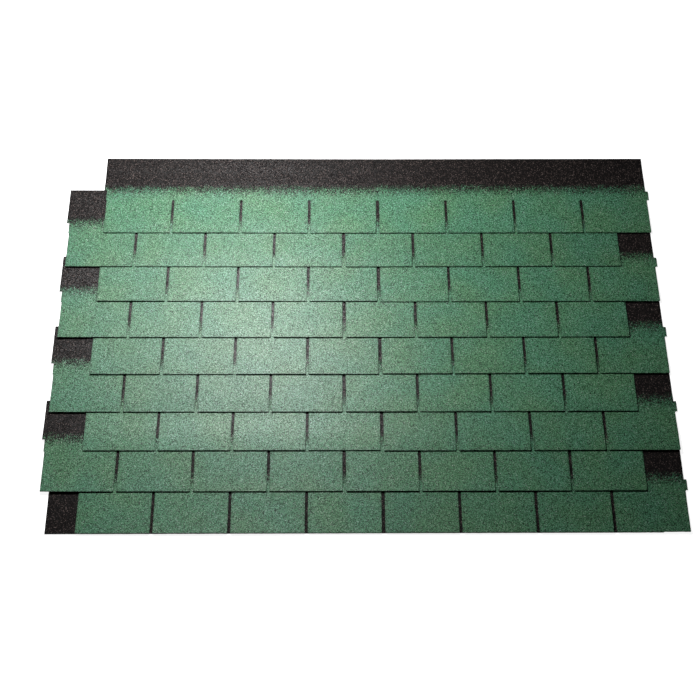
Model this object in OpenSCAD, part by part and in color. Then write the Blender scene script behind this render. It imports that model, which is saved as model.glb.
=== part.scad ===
// Asphalt shingle strips, one bundle's worth, laid flat in staggered overlapping courses
// over a starter course. Millimetres. X runs along the courses, +Y points up the slope from
// the tab edges to the head edges, +Z is up, and the origin is the middle of the footprint.

/* [Strip] */
// Length of one strip, end to end
strip_l = 1000; // [700:10:1200]
// Height of one strip, from its tab edge to its head edge
strip_h = 333; // [270:1:400]
// Thickness of a strip, granules included
strip_t = 2.8; // [2:0.1:4]
// Tabs along one strip
tabs = 4; // [2:1:6]

/* [Slots] */
// Width of the slot between two tabs
slot_w = 9.5; // [5:0.5:14]
// Length of a slot, from the tab edge up to its round end
slot_l = 145; // [110:1:175]
// How far to the right of a slot's middle line a strip is cut off at its ends
cut_shift = 2.5; // [0:0.5:2.5]
// How much wider than the other slots the one is that two strips make where they meet
end_slot_extra = 1.5; // [0:0.5:4]
// Radius of the tabs' lower corners
corner_r = 3; // [1:0.5:8]

/* [Strip ends] */
// How far the head half of a strip is cut to the left of its tab half
end_step = 9; // [3:0.5:15]
// Height of that step above the tab edge, at the left end
end_step_h = 187; // [185:1:225]
// How much lower the step is at the right end, so that two strips clear each other
step_gap = 4; // [3:0.5:6]

/* [Laying] */
// Courses above the starter course
courses = 9; // [2:1:14]
// Height of each course that the next one leaves showing
exposure = 143; // [115:1:170]
// Gap between the head edges where two strips of a course meet
joint_gap = 0.2; // [0.2:0.1:6]
// How much lower than its ends the last course lies at that joint
joint_dip = 2; // [0:0.5:5]
// How far the starter course stands out to the left of the first course
starter_out = 95; // [0:5:120]
// How far a hand-laid strip strays from its line
lay_error = 1; // [0:0.25:1.5]

/* [Layers] */
// Air left between a strip and the one it lies on
layer_gap = 0.2; // [0.2:0.05:0.5]
// Length over which a strip comes down after passing a head edge below it
sag_l = 90; // [40:5:110]

/* [Hidden] */
sides = ["left", "right"];

tab_pitch = strip_l / tabs;
stagger = tab_pitch / 2;
layer = strip_t + layer_gap;
sag_steps = 6;
slot_fn = 32;
over = 1; // how far a cutting shape runs past what it cuts

// Turn of the strips of course k, in degrees. The dip builds up from course to course.
function lay_turn(k) = asin(joint_dip * k / courses / strip_l);

// Gap between the two strips of course k at their mid height. Their turn closes it at the head.
function mid_gap(k) = joint_gap + strip_h * sin(lay_turn(k));

// Outer size of the laid courses, which centres them on the origin
left_out = stagger + end_step;
laid_l = left_out + 2 * strip_l + mid_gap(courses);
laid_h = (courses - 1) * exposure + strip_h;

// Stray of a whole course sideways, and of strip i of course k up the slope. Course 1 stays
// flush with the starter course at the eave, and the last course keeps to its line.
stray_turn = 137; // degrees from one stray to the next, so that none repeats
function stray(n) = lay_error * sin(n * stray_turn);
function stray_up(k, i) = k == 1 || k == courses ? 0 : stray(2 * k + i);

// Where each course starts and ends on the slope, before centring
function tab_edge(k) = (k - 1) * exposure;
function head_edge(k) = tab_edge(k) + strip_h;

// Share of a layer that is still under a strip, u past that layer's head edge: 1, easing to 0
function ease(s) = 1 - s * s * (3 - 2 * s);
function support(u) = ease(min(max(u / sag_l, 0), 1));

// Height of the underside of course k at y. The starter ends where course 1 does.
function underside(k, y) = layer * (
    support(y - head_edge(1)) + (k < 2 ? 0 : sum([for (m = [1 : k - 1]) support(y - head_edge(m))]))
);
function sum(list, i = 0) = i == len(list) ? 0 : list[i] + sum(list, i + 1);

// The places along the slope where course k bends, from its tab edge to its head edge
function bends(k) = k < 2 ? [] : [
    for (m = [1 : k - 1]) for (i = [0 : sag_steps])
        let (y = head_edge(m) + i * sag_l / sag_steps)
            if (y > tab_edge(k) + over && y < head_edge(k) - over) y
];
function stations(k) = concat([tab_edge(k)], bends(k), [head_edge(k)]);

// Plan of a slot of width w, centred on x = 0 and open at the tab edge between rounded corners
module slot_plan(w) {
    translate([-w / 2, -over]) square([w, slot_l + over - w / 2]);
    translate([0, slot_l - w / 2]) circle(d = w, $fn = slot_fn);
    translate([w / 2, 0]) corner_plan();
    translate([-w / 2, 0]) mirror([1, 0]) corner_plan();
}

// What a rounded lower corner takes away, for a tab that lies in +X from it
module corner_plan() {
    difference() {
        translate([-over, -over]) square(corner_r + over);
        translate([corner_r, corner_r]) circle(corner_r, $fn = slot_fn);
        translate([corner_r, -2 * over]) square(corner_r + over);
        translate([-2 * over, corner_r]) square(corner_r + over);
    }
}

// Plan of a strip, with the left end of its tab half at x = 0 and its tab edge at y = 0
module strip_plan() {
    difference() {
        union() {
            square([strip_l - end_step, strip_h]);
            square([strip_l, end_step_h - step_gap]);
            translate([-end_step, end_step_h])
                square([strip_l - end_step, strip_h - end_step_h]);
        }
        for (i = [0 : tabs])
            translate([i * tab_pitch - cut_shift, 0])
                slot_plan(i % tabs == 0 ? slot_w + end_slot_extra : slot_w);
    }
}

// Side section of course k, run along X past both ends of a strip
module course_section(k) {
    ys = stations(k);
    under = [for (y = ys) [y - tab_edge(k), underside(k, y)]];
    upper = [for (p = under) p + [0, strip_t]];
    last = len(ys) - 1;
    translate([-2 * end_step, 0, 0]) rotate([90, 0, 90])
        linear_extrude(strip_l + 4 * end_step)
            polygon(concat(under, [for (i = [0 : last]) upper[last - i]]));
}

// Turns a strip about its middle, by an angle in degrees
module turned(angle) {
    middle = [strip_l, strip_h, 0] / 2;
    translate(middle) rotate([0, 0, angle]) translate(-middle) children();
}

// Strip i (0 left, 1 right) of course k, lying on the courses below it
module course(k, i) {
    row_x = k % 2 == 0 ? -stagger : 0;
    x = row_x + stray(k) + i * (strip_l + mid_gap(k));
    color([0.30, 0.50, 0.37])
        translate([x, tab_edge(k) + stray_up(k, i), 0])
            turned(i == 0 ? -lay_turn(k) : lay_turn(k))
                intersection() {
                    linear_extrude((courses + 2) * layer) strip_plan();
                    course_section(k);
                }
}

// Strip i of the starter course: a strip turned end for end, its head edge at the eave
module starter(i) {
    x = -starter_out - end_step + i * (strip_l + joint_gap);
    color([0.16, 0.15, 0.15])
        translate([x + strip_l, strip_h, 0]) rotate([0, 0, 180])
            linear_extrude(strip_t) strip_plan();
}

// The frame of the finished part: origin in the middle of the footprint
module laid() {
    translate([left_out - laid_l / 2, -laid_h / 2, 0]) children();
}

for (i = [0 : 1]) {
    laid() starter(i);
    for (k = [1 : courses])
        laid() course(k, i);
}
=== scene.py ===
"""Asphalt shingle strips laid in courses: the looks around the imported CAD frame.

Each CAD strip is replaced by a finer mesh of the same plan and the same bent side profile. Its tabs
lift a little, its cut edges crumble, and it has a granule face, a bitumen edge and a sanded back.
Lengths are in metres, in the frame of the CAD model: +X along the courses, +Y up the slope."""

import math

import bmesh
import bpy
import numpy as np
from mathutils import Matrix, Vector, geometry


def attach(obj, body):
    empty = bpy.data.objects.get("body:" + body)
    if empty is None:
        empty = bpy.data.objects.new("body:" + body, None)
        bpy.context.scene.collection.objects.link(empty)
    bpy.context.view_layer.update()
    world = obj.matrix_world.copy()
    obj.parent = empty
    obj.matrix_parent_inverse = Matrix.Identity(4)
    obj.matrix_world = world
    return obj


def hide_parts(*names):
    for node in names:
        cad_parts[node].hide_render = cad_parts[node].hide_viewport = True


# Strips
TABS = 4
EXPOSURE = 0.143  # height of each course that the next one leaves showing
BORDER_AT = 0.184  # where green granules give way to black ones, above the tab edge
STARTER_BORDER_AT = 0.155  # the same on the starter strips, whose head bands are taller
BORDER_STRAY = 0.003  # how far that differs from strip to strip
TAB_LIFT = (0.0010, 0.0028)  # the least and the most that a tab's corner stands up
LIFT_REACH = 0.9 * EXPOSURE  # how far up a tab the lift goes
CRUMBLE = 0.0004  # how far a cut edge strays from its line
SEED = 7

# Mesh
FACE_STEP = 0.008  # spacing of the points on a strip's faces
EDGE_STEP = 0.004  # spacing of the points along a cut edge
EDGE_CLEAR = 0.6  # share of a face step that the face's own points keep from the cut edge
BEVEL = 0.0005  # how far the faces round off at a cut edge
BEND_REACH = 0.035  # how far either way the bends of the side profile are smoothed
BEND_SAMPLES = 9
SHARP_ANGLE = math.radians(30)
UPWARD = 0.5  # the least normal z of a face that looks up
WELD = 1e-6  # points of the CAD mesh that are nearer than this are one
TOUCH = 1e-7  # points of a plan that are nearer than this are one
FACE, EDGE, BACK = 0, 1, 2  # material slots of a strip

# Granule face
GRAIN = 0.0020  # width of one granule
CLUMP = 0.004  # width of the clumps that granules fall in
CLUMP_SHADE = 0.12  # how much lighter or darker a clump is, on the scale of the tones
TONE_STRAY = 0.05  # how much lighter or darker one strip is than the next
PATCH = 0.16  # width of the patches in which the blend of colours changes
COOL_TINT = (0.93, 1.0, 1.06, 1.0)
WARM_TINT = (1.07, 1.0, 0.94, 1.0)
# The darkest green tones are painted shade: dark specks that stand for the shadows between granules.
GREEN_TONES = [
    (0.00, (0.004, 0.017, 0.008)),
    (0.18, (0.012, 0.052, 0.023)),
    (0.34, (0.054, 0.178, 0.087)),
    (0.70, (0.091, 0.262, 0.138)),
    (0.97, (0.154, 0.368, 0.218)),
    (1.00, (0.340, 0.480, 0.400)),
]
BLACK_TONES = [
    (0.00, (0.0015, 0.0010, 0.0012)),
    (0.70, (0.0052, 0.0034, 0.0031)),
    (0.90, (0.0135, 0.0088, 0.0080)),
    (0.94, (0.0520, 0.0390, 0.0360)),
    (1.00, (0.1750, 0.1350, 0.1240)),
]
BORDER_FADE = 0.070  # height over which green gives way to black
BORDER_WAVE = 0.03  # width of the waves in the border
BORDER_WAVE_HEIGHT = 0.004
FIRST_TURN, LAST_TURN = 0.12, 0.88  # shares of the fade where the first and last granules turn
TURN_EASE = 0.12  # share of the fade, either way, over which one granule turns
GAP_NEAR, GAP_FAR = 0.42, 0.75  # where the painted shade in the gap round a granule starts and is darkest, in grains
GAP_SHADE_TONE = 0.3  # how light that painted shade still leaves it
WEAR_REACH = 0.008  # how far in from a cut edge the granules are worn
WEAR_TONE = 0.8  # how light they still are at the edge
WEAR_STORED = 0.02  # the longest distance from a cut edge that the mesh stores
LEAN = 0.08  # how far a granule's facet leans either way
GRAIN_RISE = 0.0004  # how far a granule stands up
GRAIN_STRENGTH = 0.3  # strength of that relief
GRAIN_RADIUS = 0.8  # where it reaches down to the asphalt, in grains
DARK_SHADE, LIGHT_SHADE = 0.20, 0.35  # between them the green granules go from dull to glossy
DULL_GREEN, GLOSSY_GREEN = 0.56, 0.375  # their roughness
DULL_LEAN, GLOSSY_LEAN = 0.45, 0.40  # the same for the black granules, by the lean of their facets
DULL_BLACK, GLOSSY_BLACK = 1.0, 0.375
GRAIN_SPECULAR = 0.34
PATTERN_SHIFT = (1.3, 0.7)  # from one strip to the next, so that no two share their granules

# Cut edge and back
EDGE_TONES = [
    (0.30, (0.002, 0.004, 0.003)),
    (0.60, (0.007, 0.012, 0.009)),
    (0.75, (0.030, 0.045, 0.037)),
]
EDGE_GRAIN = 1 / 900  # width of the torn specks
BACK_TONES = [
    (0.0, (0.012, 0.011, 0.010)),
    (0.6, (0.040, 0.037, 0.034)),
    (1.0, (0.160, 0.150, 0.135)),
]
SAND_GRAIN = 1 / 1400  # width of one grain of sand
SAND_CLOUD = 0.05  # width of the clouds in the sand
SAND_CLOUD_SHADE = 0.1  # how much lighter or darker a cloud is, on the scale of the tones

# Camera
LENS = 67.256
SENSOR = 36.0
CAMERA_TARGET = Vector((-0.0399, -0.0738, 0.008))
CAMERA_DISTANCE = 4.524
CAMERA_ELEVATION = math.radians(62.351)
CAMERA_AZIMUTH = math.radians(-1.351)
CAMERA_ROLL = math.radians(1.123)

# Light and floor
KEY_PLACE = Vector((-0.42, 0.82, 1.45))
KEY_SIZE = 0.6
KEY_POWER = 44.0
SIDE_PLACE = Vector((-1.10, 0.90, 1.45))
SIDE_SIZE = 0.4
SIDE_POWER = 9.0
LIGHT_AIM = Vector((-0.45, 0.1, 0.0))
SKY_STRENGTH = 0.01
WHITE = (1.0, 1.0, 1.0, 1.0)
FLOOR_SIZE = 400.0
FLOOR_COLOUR = (0.85, 0.85, 0.85, 1.0)
FLOOR_GLOW = 0.9
GLOW_EASE = 0.01  # distance over which the glow sets in
DULL_FLOOR = (0.90, 0.73)  # half sizes of the part below the strips that does not glow


# ---------------------------------------------------------------- shape of a strip


def top_sheet(node):
    """The granule face of a CAD strip, as a bmesh of its own."""
    sheet = bmesh.new()
    sheet.from_mesh(node.data)
    bmesh.ops.remove_doubles(sheet, verts=sheet.verts, dist=WELD)
    sheet.normal_update()
    others = [face for face in sheet.faces if face.normal.z < UPWARD]
    bmesh.ops.delete(sheet, geom=others, context="FACES")
    return sheet


def cut_line(node):
    """The outline of a CAD strip as (x, y) corners in order, anticlockwise."""
    sheet = top_sheet(node)
    following = {}
    for edge in sheet.edges:
        if edge.is_boundary:
            loop = edge.link_loops[0]
            following[loop.vert] = loop.link_loop_next.vert
    start = next(iter(following))
    corners, vert = [start.co.xy.copy()], following[start]
    while vert is not start:
        corners.append(vert.co.xy.copy())
        vert = following[vert]
    sheet.free()
    return np.array(corners)


class Lay:
    """How a CAD strip lies: its turn and shift from a strip that lies square at the origin.

    The turn comes from the head edge, which is the longest side of the outline."""

    def __init__(self, node):
        line = cut_line(node)
        sides = np.roll(line, -1, axis=0) - line
        head = sides[np.linalg.norm(sides, axis=1).argmax()]
        cos, sin = -head / np.linalg.norm(head)
        self.turn = np.array([[cos, sin], [-sin, cos]])
        self.shift = (line @ self.turn.T).min(axis=0)
        self.line = self.square(line)

    def square(self, plan):
        """Places in the frame as places on the square strip."""
        return plan @ self.turn.T - self.shift

    def placed(self, local):
        """Places on the square strip as places in the frame."""
        return (local + self.shift) @ self.turn


def divided(corners, step):
    """The same closed line with points no further than step apart."""
    points = []
    for here, there in zip(corners, np.roll(corners, -1, axis=0)):
        parts = max(1, math.ceil(np.linalg.norm(there - here) / step))
        points += [here + (there - here) * i / parts for i in range(parts)]
    return np.array(points)


def outward(line):
    """Unit normals of a closed anticlockwise line, at its points."""
    along = np.roll(line, -1, axis=0) - line
    along /= np.linalg.norm(along, axis=1, keepdims=True)
    both = along + np.roll(along, 1, axis=0)
    both /= np.linalg.norm(both, axis=1, keepdims=True)
    return np.stack([both[:, 1], -both[:, 0]], axis=1)


def gap_to(line, point):
    """Distance of a point from the nearest point of a line."""
    return np.linalg.norm(line - point, axis=1).min()


def filled(line, step):
    """(points, triangles) of the area inside a closed line. The line's points come first."""
    low, high = line.min(axis=0), line.max(axis=0)
    xs = np.arange(low[0] + step, high[0], step)
    ys = np.arange(low[1] + step, high[1], step)
    across, up = np.meshgrid(xs, ys)
    grid = np.stack([across.ravel(), up.ravel()], axis=1)
    clear = [p for p in grid if gap_to(line, p) > EDGE_CLEAR * step]
    points = [Vector(p) for p in [*line, *clear]]
    ring = [list(range(len(line)))]
    only_inside = 1
    result = geometry.delaunay_2d_cdt(points, [], ring, only_inside, TOUCH)
    found, _, faces = result[:3]
    return np.array([tuple(p) for p in found]), np.array(faces)


class Profile:
    """The bent side section of a CAD strip: the heights of its two faces at any y."""

    def __init__(self, node, lay):
        places = np.array([v.co for v in node.data.vertices])
        ys = lay.square(places[:, :2])[:, 1].round(5)
        self.ys = np.unique(ys)
        rows = [places[ys == y, 2] for y in self.ys]
        self.under = np.array([row.min() for row in rows])
        self.top = np.array([row.max() for row in rows])

    def smooth(self, heights, y):
        """The mean of the heights within BEND_REACH of y."""
        reach = np.linspace(-BEND_REACH, BEND_REACH, BEND_SAMPLES)
        return np.mean([np.interp(y + r, self.ys, heights) for r in reach], axis=0)

    def under_at(self, y):
        return self.smooth(self.under, y)

    def top_at(self, y):
        return self.smooth(self.top, y)


class Cut:
    """The plan that all strips share: both faces filled, with the cut edge between them."""

    def __init__(self, node):
        corners = Lay(node).line
        self.size = corners.max(axis=0)
        self.line = divided(corners, EDGE_STEP)
        self.out = outward(self.line)
        self.points, self.faces = filled(self.line - BEVEL * self.out, FACE_STEP)
        gaps = [gap_to(self.line, p) for p in self.points]
        self.from_edge = np.minimum(gaps, WEAR_STORED)
        self.ring = len(self.line)
        self.sheet = len(self.points)

    def all_faces(self):
        """Faces and their material slots. Points come as face, back, upper rim, lower rim."""
        face, back = 0, self.sheet
        upper, lower = 2 * self.sheet, 2 * self.sheet + self.ring
        faces = [tuple(f) for f in self.faces]
        faces += [tuple(f[::-1] + back) for f in self.faces]
        slots = [FACE] * len(self.faces) + [BACK] * len(self.faces)
        bands = ((face, upper, FACE), (upper, lower, EDGE), (lower, back, BACK))
        for i in range(self.ring):
            j = (i + 1) % self.ring
            for above, below, slot in bands:
                faces.append((above + j, above + i, below + i, below + j))
                slots.append(slot)
        return faces, slots


def ragged(rng, count, size):
    """Random values up to size either way, eased between neighbours along a closed line."""
    raw = rng.uniform(-size, size, count)
    return 0.5 * raw + 0.25 * (np.roll(raw, 1) + np.roll(raw, -1))


def tab_lift(rng, local, size):
    """How far each local (x, y) of a strip stands up: each tab lifts at its two corners."""
    left, right = rng.uniform(*TAB_LIFT, (2, TABS))
    along = local[:, 0] / size[0] * TABS
    tab = np.clip(np.floor(along), 0, TABS - 1).astype(int)
    share = np.clip(along - tab, 0, 1)
    corner = left[tab] * (1 - share) + right[tab] * share
    up = np.clip(1 - local[:, 1] / LIFT_REACH, 0, 1)
    return corner * up * up


def strip_points(cut, node, turned, rng):
    """(points, local plan of each) of one strip, in the order that Cut.all_faces expects."""
    rim = cut.line + cut.out * ragged(rng, cut.ring, CRUMBLE)[:, None]
    lower_rim = cut.line + cut.out * ragged(rng, cut.ring, CRUMBLE)[:, None]
    local = np.concatenate([cut.points, cut.points, rim, lower_rim])
    lay = Lay(node)
    profile = Profile(node, lay)
    top, under = profile.top_at(local[:, 1]), profile.under_at(local[:, 1])
    level = np.repeat([0, 1, 2, 3], [cut.sheet, cut.sheet, cut.ring, cut.ring])
    height = np.choose(level, [top, under, top - BEVEL, under + BEVEL])
    lift = 0 if turned else tab_lift(rng, local, cut.size)
    return np.column_stack([lay.placed(local), height + lift]), local


def set_attribute(mesh, name, kind, values):
    """Stores one value for each point of the mesh, for the materials to read."""
    field = "vector" if kind == "FLOAT_VECTOR" else "value"
    data = mesh.attributes.new(name, kind, "POINT").data
    data.foreach_set(field, np.asarray(values, np.float32).ravel())


def set_finish(mesh, cut, points, local, turned, index, rng):
    """Stores what the granule face reads: the pattern, the border, the wear and the tone."""
    apart = index * np.array(PATTERN_SHIFT)
    place = np.column_stack([local + apart, points[:, 2]])
    set_attribute(mesh, "granule_place", "FLOAT_VECTOR", place)
    border = STARTER_BORDER_AT if turned else BORDER_AT
    border += rng.uniform(-BORDER_STRAY, BORDER_STRAY)
    set_attribute(mesh, "above_border", "FLOAT", local[:, 1] - border)
    rims = np.zeros(2 * cut.ring)
    from_edge = np.concatenate([cut.from_edge, cut.from_edge, rims])
    set_attribute(mesh, "from_edge", "FLOAT", from_edge)
    tone = 1 + rng.uniform(-TONE_STRAY, TONE_STRAY)
    set_attribute(mesh, "strip_tone", "FLOAT", np.full(len(points), tone))


def strip(cut, node, index, materials):
    """The visual piece of one strip, riding on the CAD body in its place."""
    rng = np.random.default_rng(SEED + index)
    turned = node.name.startswith("starter")
    points, local = strip_points(cut, node, turned, rng)
    faces, slots = cut.all_faces()
    mesh = bpy.data.meshes.new(node.name + "_strip")
    mesh.from_pydata(points.tolist(), [], faces)
    for material in materials:
        mesh.materials.append(material)
    mesh.polygons.foreach_set("material_index", slots)
    mesh.polygons.foreach_set("use_smooth", [True] * len(faces))
    mesh.set_sharp_from_angle(angle=SHARP_ANGLE)
    set_finish(mesh, cut, points, local, turned, index, rng)

    piece = bpy.data.objects.new(node.name + "_strip", mesh)
    bpy.context.scene.collection.objects.link(piece)
    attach(piece, "root")
    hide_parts(node.name)
    return piece


# ---------------------------------------------------------------- materials


class Material:
    """A node material under construction. A value is a number, a colour or a node's output."""

    def __init__(self, name):
        self.material = bpy.data.materials.new(name)
        self.material.use_nodes = True
        self.tree = self.material.node_tree
        self.tree.nodes.clear()

    def feed(self, socket, value):
        """Links a node's output to a socket, or sets the socket's own value."""
        if isinstance(value, bpy.types.NodeSocket):
            self.tree.links.new(value, socket)
        else:
            socket.default_value = value

    def node(self, kind, inputs=None, **settings):
        """Adds one node, with its inputs fed."""
        node = self.tree.nodes.new("ShaderNode" + kind)
        for name, value in settings.items():
            setattr(node, name, value)
        for name, value in (inputs or {}).items():
            self.feed(node.inputs[name], value)
        return node

    def attribute(self, name, output="Fac"):
        return self.node("Attribute", attribute_name=name).outputs[output]

    def maths(self, operation, *values):
        return self.node("Math", dict(enumerate(values)), operation=operation).outputs[0]

    def vector_maths(self, operation, *values):
        node = self.node("VectorMath", dict(enumerate(values)), operation=operation)
        return node.outputs[0]

    def mapped(self, value, low, high, to_low=0.0, to_high=1.0):
        """The range low to high of a value as the range to_low to to_high."""
        inputs = {
            "Value": value,
            "From Min": low,
            "From Max": high,
            "To Min": to_low,
            "To Max": to_high,
        }
        return self.node("MapRange", inputs).outputs[0]

    def clouds(self, place, width, low, high, detail=2.0):
        """Soft noise that drifts between low and high over about a width."""
        inputs = {"Vector": place, "Scale": 1 / width, "Detail": detail}
        noise = self.node("TexNoise", inputs, noise_dimensions="2D").outputs["Fac"]
        return self.mapped(noise, 0.3, 0.7, low, high)

    def grains(self, place, width):
        """Cells of about a width: (three random numbers for each, distance from its middle)."""
        inputs = {"Vector": place, "Scale": 1 / width}
        cells = self.node("TexVoronoi", inputs, voronoi_dimensions="2D").outputs
        numbers = self.node("SeparateColor", {"Color": cells["Color"]}).outputs
        return numbers, cells["Distance"]

    def ramp(self, value, tones):
        """A value from 0 to 1 as a colour between the nearest tones."""
        node = self.node("ValToRGB", {"Fac": value})
        elements = node.color_ramp.elements
        for spot, colour in tones[1:-1]:
            elements.new(spot)
        for element, (spot, colour) in zip(elements, tones):
            element.position = spot
            element.color = (*colour, 1.0)
        return node.outputs["Color"]

    def mix(self, share, first, second, blend="MIX"):
        node = self.node("Mix", data_type="RGBA", blend_type=blend)
        sockets = {s.identifier: s for s in [*node.inputs, *node.outputs]}
        self.feed(sockets["Factor_Float"], share)
        self.feed(sockets["A_Color"], first)
        self.feed(sockets["B_Color"], second)
        return sockets["Result_Color"]

    def shaded(self, colour, tone):
        """A colour made darker or lighter by a number."""
        inputs = {"Red": tone, "Green": tone, "Blue": tone}
        grey = self.node("CombineColor", inputs).outputs[0]
        return self.mix(1.0, colour, grey, "MULTIPLY")

    def bump(self, height, strength, distance, normal=None):
        inputs = {"Height": height, "Strength": strength, "Distance": distance}
        if normal is not None:
            inputs["Normal"] = normal
        return self.node("Bump", inputs).outputs[0]

    def finish(self, **inputs):
        names = {
            "colour": "Base Color",
            "roughness": "Roughness",
            "normal": "Normal",
            "specular": "Specular IOR Level",
            "glow": "Emission Strength",
            "glow_colour": "Emission Color",
        }
        surface = self.node("BsdfPrincipled", {names[k]: v for k, v in inputs.items()})
        output = self.node("OutputMaterial")
        self.tree.links.new(surface.outputs[0], output.inputs["Surface"])
        return self.material


def green_granules(m, place, shade):
    """Colour of the green granules, which drifts a little from patch to patch."""
    warm = m.clouds(place, PATCH, 0.0, 1.0, detail=1.0)
    tint = m.mix(warm, COOL_TINT, WARM_TINT)
    return m.mix(1.0, m.ramp(shade, GREEN_TONES), tint, "MULTIPLY")


def head_band(m, place, pick):
    """1 on the head band's granules and 0 on the tabs'. In the border, pick decides for each."""
    wave = m.clouds(place, BORDER_WAVE, -BORDER_WAVE_HEIGHT, BORDER_WAVE_HEIGHT)
    above = m.maths("ADD", m.attribute("above_border"), wave)
    share = m.mapped(above, -BORDER_FADE / 2, BORDER_FADE / 2)
    turn = m.maths("SUBTRACT", share, m.mapped(pick, 0.0, 1.0, FIRST_TURN, LAST_TURN))
    return m.mapped(turn, -TURN_EASE, TURN_EASE)


def granule_relief(m, lean_x, lean_y, from_middle):
    """Normals of granules that stand up, each with its own lean."""
    leans = {
        "X": m.mapped(lean_x, 0.0, 1.0, -LEAN, LEAN),
        "Y": m.mapped(lean_y, 0.0, 1.0, -LEAN, LEAN),
    }
    lean = m.node("CombineXYZ", leans).outputs[0]
    facing = m.node("NewGeometry").outputs["Normal"]
    leaning = m.vector_maths("NORMALIZE", m.vector_maths("ADD", facing, lean))
    rise = m.mapped(from_middle, 0.0, GRAIN_RADIUS, 1.0, 0.0)
    return m.bump(rise, GRAIN_STRENGTH, GRAIN_RISE, normal=leaning)


def granule_face():
    """Ceramic granules pressed into asphalt: green over the tabs, black over the head band, with
    painted shade round each.
    """
    m = Material("granule_face")
    place = m.attribute("granule_place", "Vector")
    numbers, from_middle = m.grains(place, GRAIN)
    shade, lean_x, lean_y = numbers["Red"], numbers["Green"], numbers["Blue"]
    shade = m.maths("ADD", shade, m.clouds(place, CLUMP, -CLUMP_SHADE, CLUMP_SHADE))

    is_black = head_band(m, place, lean_x)
    colour = m.mix(is_black, green_granules(m, place, shade), m.ramp(shade, BLACK_TONES))
    # Painted shade in the gap round each granule, where the asphalt also shows.
    colour = m.shaded(colour, m.mapped(from_middle, GAP_NEAR, GAP_FAR, 1.0, GAP_SHADE_TONE))
    worn = m.mapped(m.attribute("from_edge"), 0.0, WEAR_REACH, WEAR_TONE, 1.0)
    colour = m.shaded(colour, m.maths("MULTIPLY", worn, m.attribute("strip_tone")))

    green_rough = m.mapped(shade, DARK_SHADE, LIGHT_SHADE, DULL_GREEN, GLOSSY_GREEN)
    black_rough = m.mapped(lean_y, GLOSSY_LEAN, DULL_LEAN, GLOSSY_BLACK, DULL_BLACK)
    rough = m.mapped(is_black, 0.0, 1.0, green_rough, black_rough)
    relief = granule_relief(m, lean_x, lean_y, from_middle)
    return m.finish(colour=colour, roughness=rough, normal=relief, specular=GRAIN_SPECULAR)


def cut_edge():
    """The cut through asphalt and mat: black, a little glossy, with torn specks."""
    m = Material("cut_edge")
    place = m.node("TexCoord").outputs["Object"]
    inputs = {"Vector": place, "Scale": 1 / EDGE_GRAIN, "Detail": 3.0}
    specks = m.node("TexNoise", inputs).outputs["Fac"]
    colour = m.ramp(specks, EDGE_TONES)
    relief = m.bump(specks, strength=0.6, distance=0.0005)
    return m.finish(colour=colour, roughness=0.7, normal=relief, specular=0.3)


def sanded_back():
    """The back: asphalt dusted with fine grey sand."""
    m = Material("sanded_back")
    place = m.attribute("granule_place", "Vector")
    numbers, _ = m.grains(place, SAND_GRAIN)
    cloud = m.clouds(place, SAND_CLOUD, -SAND_CLOUD_SHADE, SAND_CLOUD_SHADE)
    colour = m.ramp(m.maths("ADD", numbers["Red"], cloud), BACK_TONES)
    relief = m.bump(numbers["Green"], strength=0.4, distance=0.0002)
    return m.finish(colour=colour, roughness=0.85, normal=relief, specular=0.3)


# ---------------------------------------------------------------- floor, light and camera


def floor():
    """A plain pale floor that glows past the strips, to stay near white where the light falls off."""
    m = Material("floor")
    place = m.node("SeparateXYZ", {"Vector": m.node("TexCoord").outputs["Object"]}).outputs
    past = [
        m.maths("SUBTRACT", m.maths("ABSOLUTE", place[axis]), half)
        for axis, half in zip("XY", DULL_FLOOR)
    ]
    glow = m.mapped(m.maths("MAXIMUM", *past), 0.0, GLOW_EASE, 0.0, FLOOR_GLOW)
    material = m.finish(
        colour=FLOOR_COLOUR, roughness=0.9, specular=0.1, glow=glow, glow_colour=WHITE
    )
    bpy.ops.mesh.primitive_plane_add(size=FLOOR_SIZE)
    plane = bpy.context.object
    plane.name = "floor"
    plane.data.materials.append(material)


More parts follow.
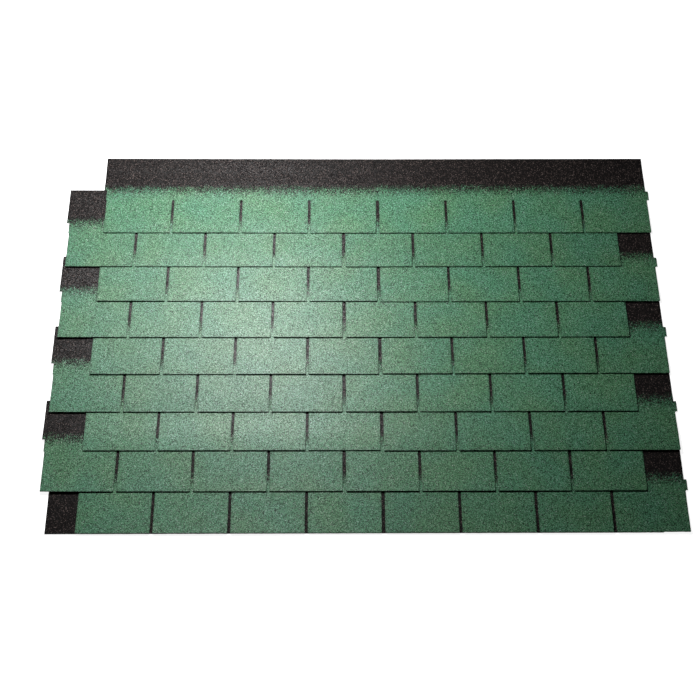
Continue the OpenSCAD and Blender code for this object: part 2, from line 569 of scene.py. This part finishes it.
def area_light(name, place, size, power):
    """A round soft light that faces the strips."""
    light = bpy.data.lights.new(name, "AREA")
    light.shape = "DISK"
    light.size = size
    light.energy = power
    lamp = bpy.data.objects.new(name, light)
    bpy.context.scene.collection.objects.link(lamp)
    lamp.location = place
    lamp.rotation_euler = (LIGHT_AIM - place).to_track_quat("-Z", "Y").to_euler()


def sky():
    """A faint even light from all round."""
    world = bpy.data.worlds.new("studio")
    world.use_nodes = True
    background = world.node_tree.nodes["Background"]
    background.inputs["Color"].default_value = WHITE
    background.inputs["Strength"].default_value = SKY_STRENGTH
    bpy.context.scene.world = world


def camera():
    """Looks down on the strips from the eave side, as the photograph does."""
    data = bpy.data.cameras.new("camera")
    data.lens = LENS
    data.sensor_width = SENSOR
    data.clip_end = FLOOR_SIZE
    level = math.cos(CAMERA_ELEVATION)
    back = Vector(
        (
            math.sin(CAMERA_AZIMUTH) * level,
            -math.cos(CAMERA_AZIMUTH) * level,
            math.sin(CAMERA_ELEVATION),
        )
    )
    turn = back.to_track_quat("Z", "Y").to_matrix() @ Matrix.Rotation(CAMERA_ROLL, 3, "Z")
    shot = bpy.data.objects.new("camera", data)
    bpy.context.scene.collection.objects.link(shot)
    shot.matrix_world = Matrix.Translation(CAMERA_TARGET + back * CAMERA_DISTANCE) @ turn.to_4x4()
    bpy.context.scene.camera = shot


# ---------------------------------------------------------------- scene

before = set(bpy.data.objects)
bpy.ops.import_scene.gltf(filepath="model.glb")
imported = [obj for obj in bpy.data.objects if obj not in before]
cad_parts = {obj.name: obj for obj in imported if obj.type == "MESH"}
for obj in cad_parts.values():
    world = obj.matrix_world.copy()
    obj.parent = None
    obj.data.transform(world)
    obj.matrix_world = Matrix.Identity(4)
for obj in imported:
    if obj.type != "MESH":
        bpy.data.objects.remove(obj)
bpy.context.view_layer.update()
bpy.context.scene.view_settings.view_transform = "Standard"

camera()
sky()
area_light("key", KEY_PLACE, KEY_SIZE, KEY_POWER)
area_light("side", SIDE_PLACE, SIDE_SIZE, SIDE_POWER)
floor()

finishes = [granule_face(), cut_edge(), sanded_back()]
shared_cut = Cut(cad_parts["course_1_left"])
for number, name in enumerate(sorted(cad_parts)):
    strip(shared_cut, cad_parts[name], number, finishes)
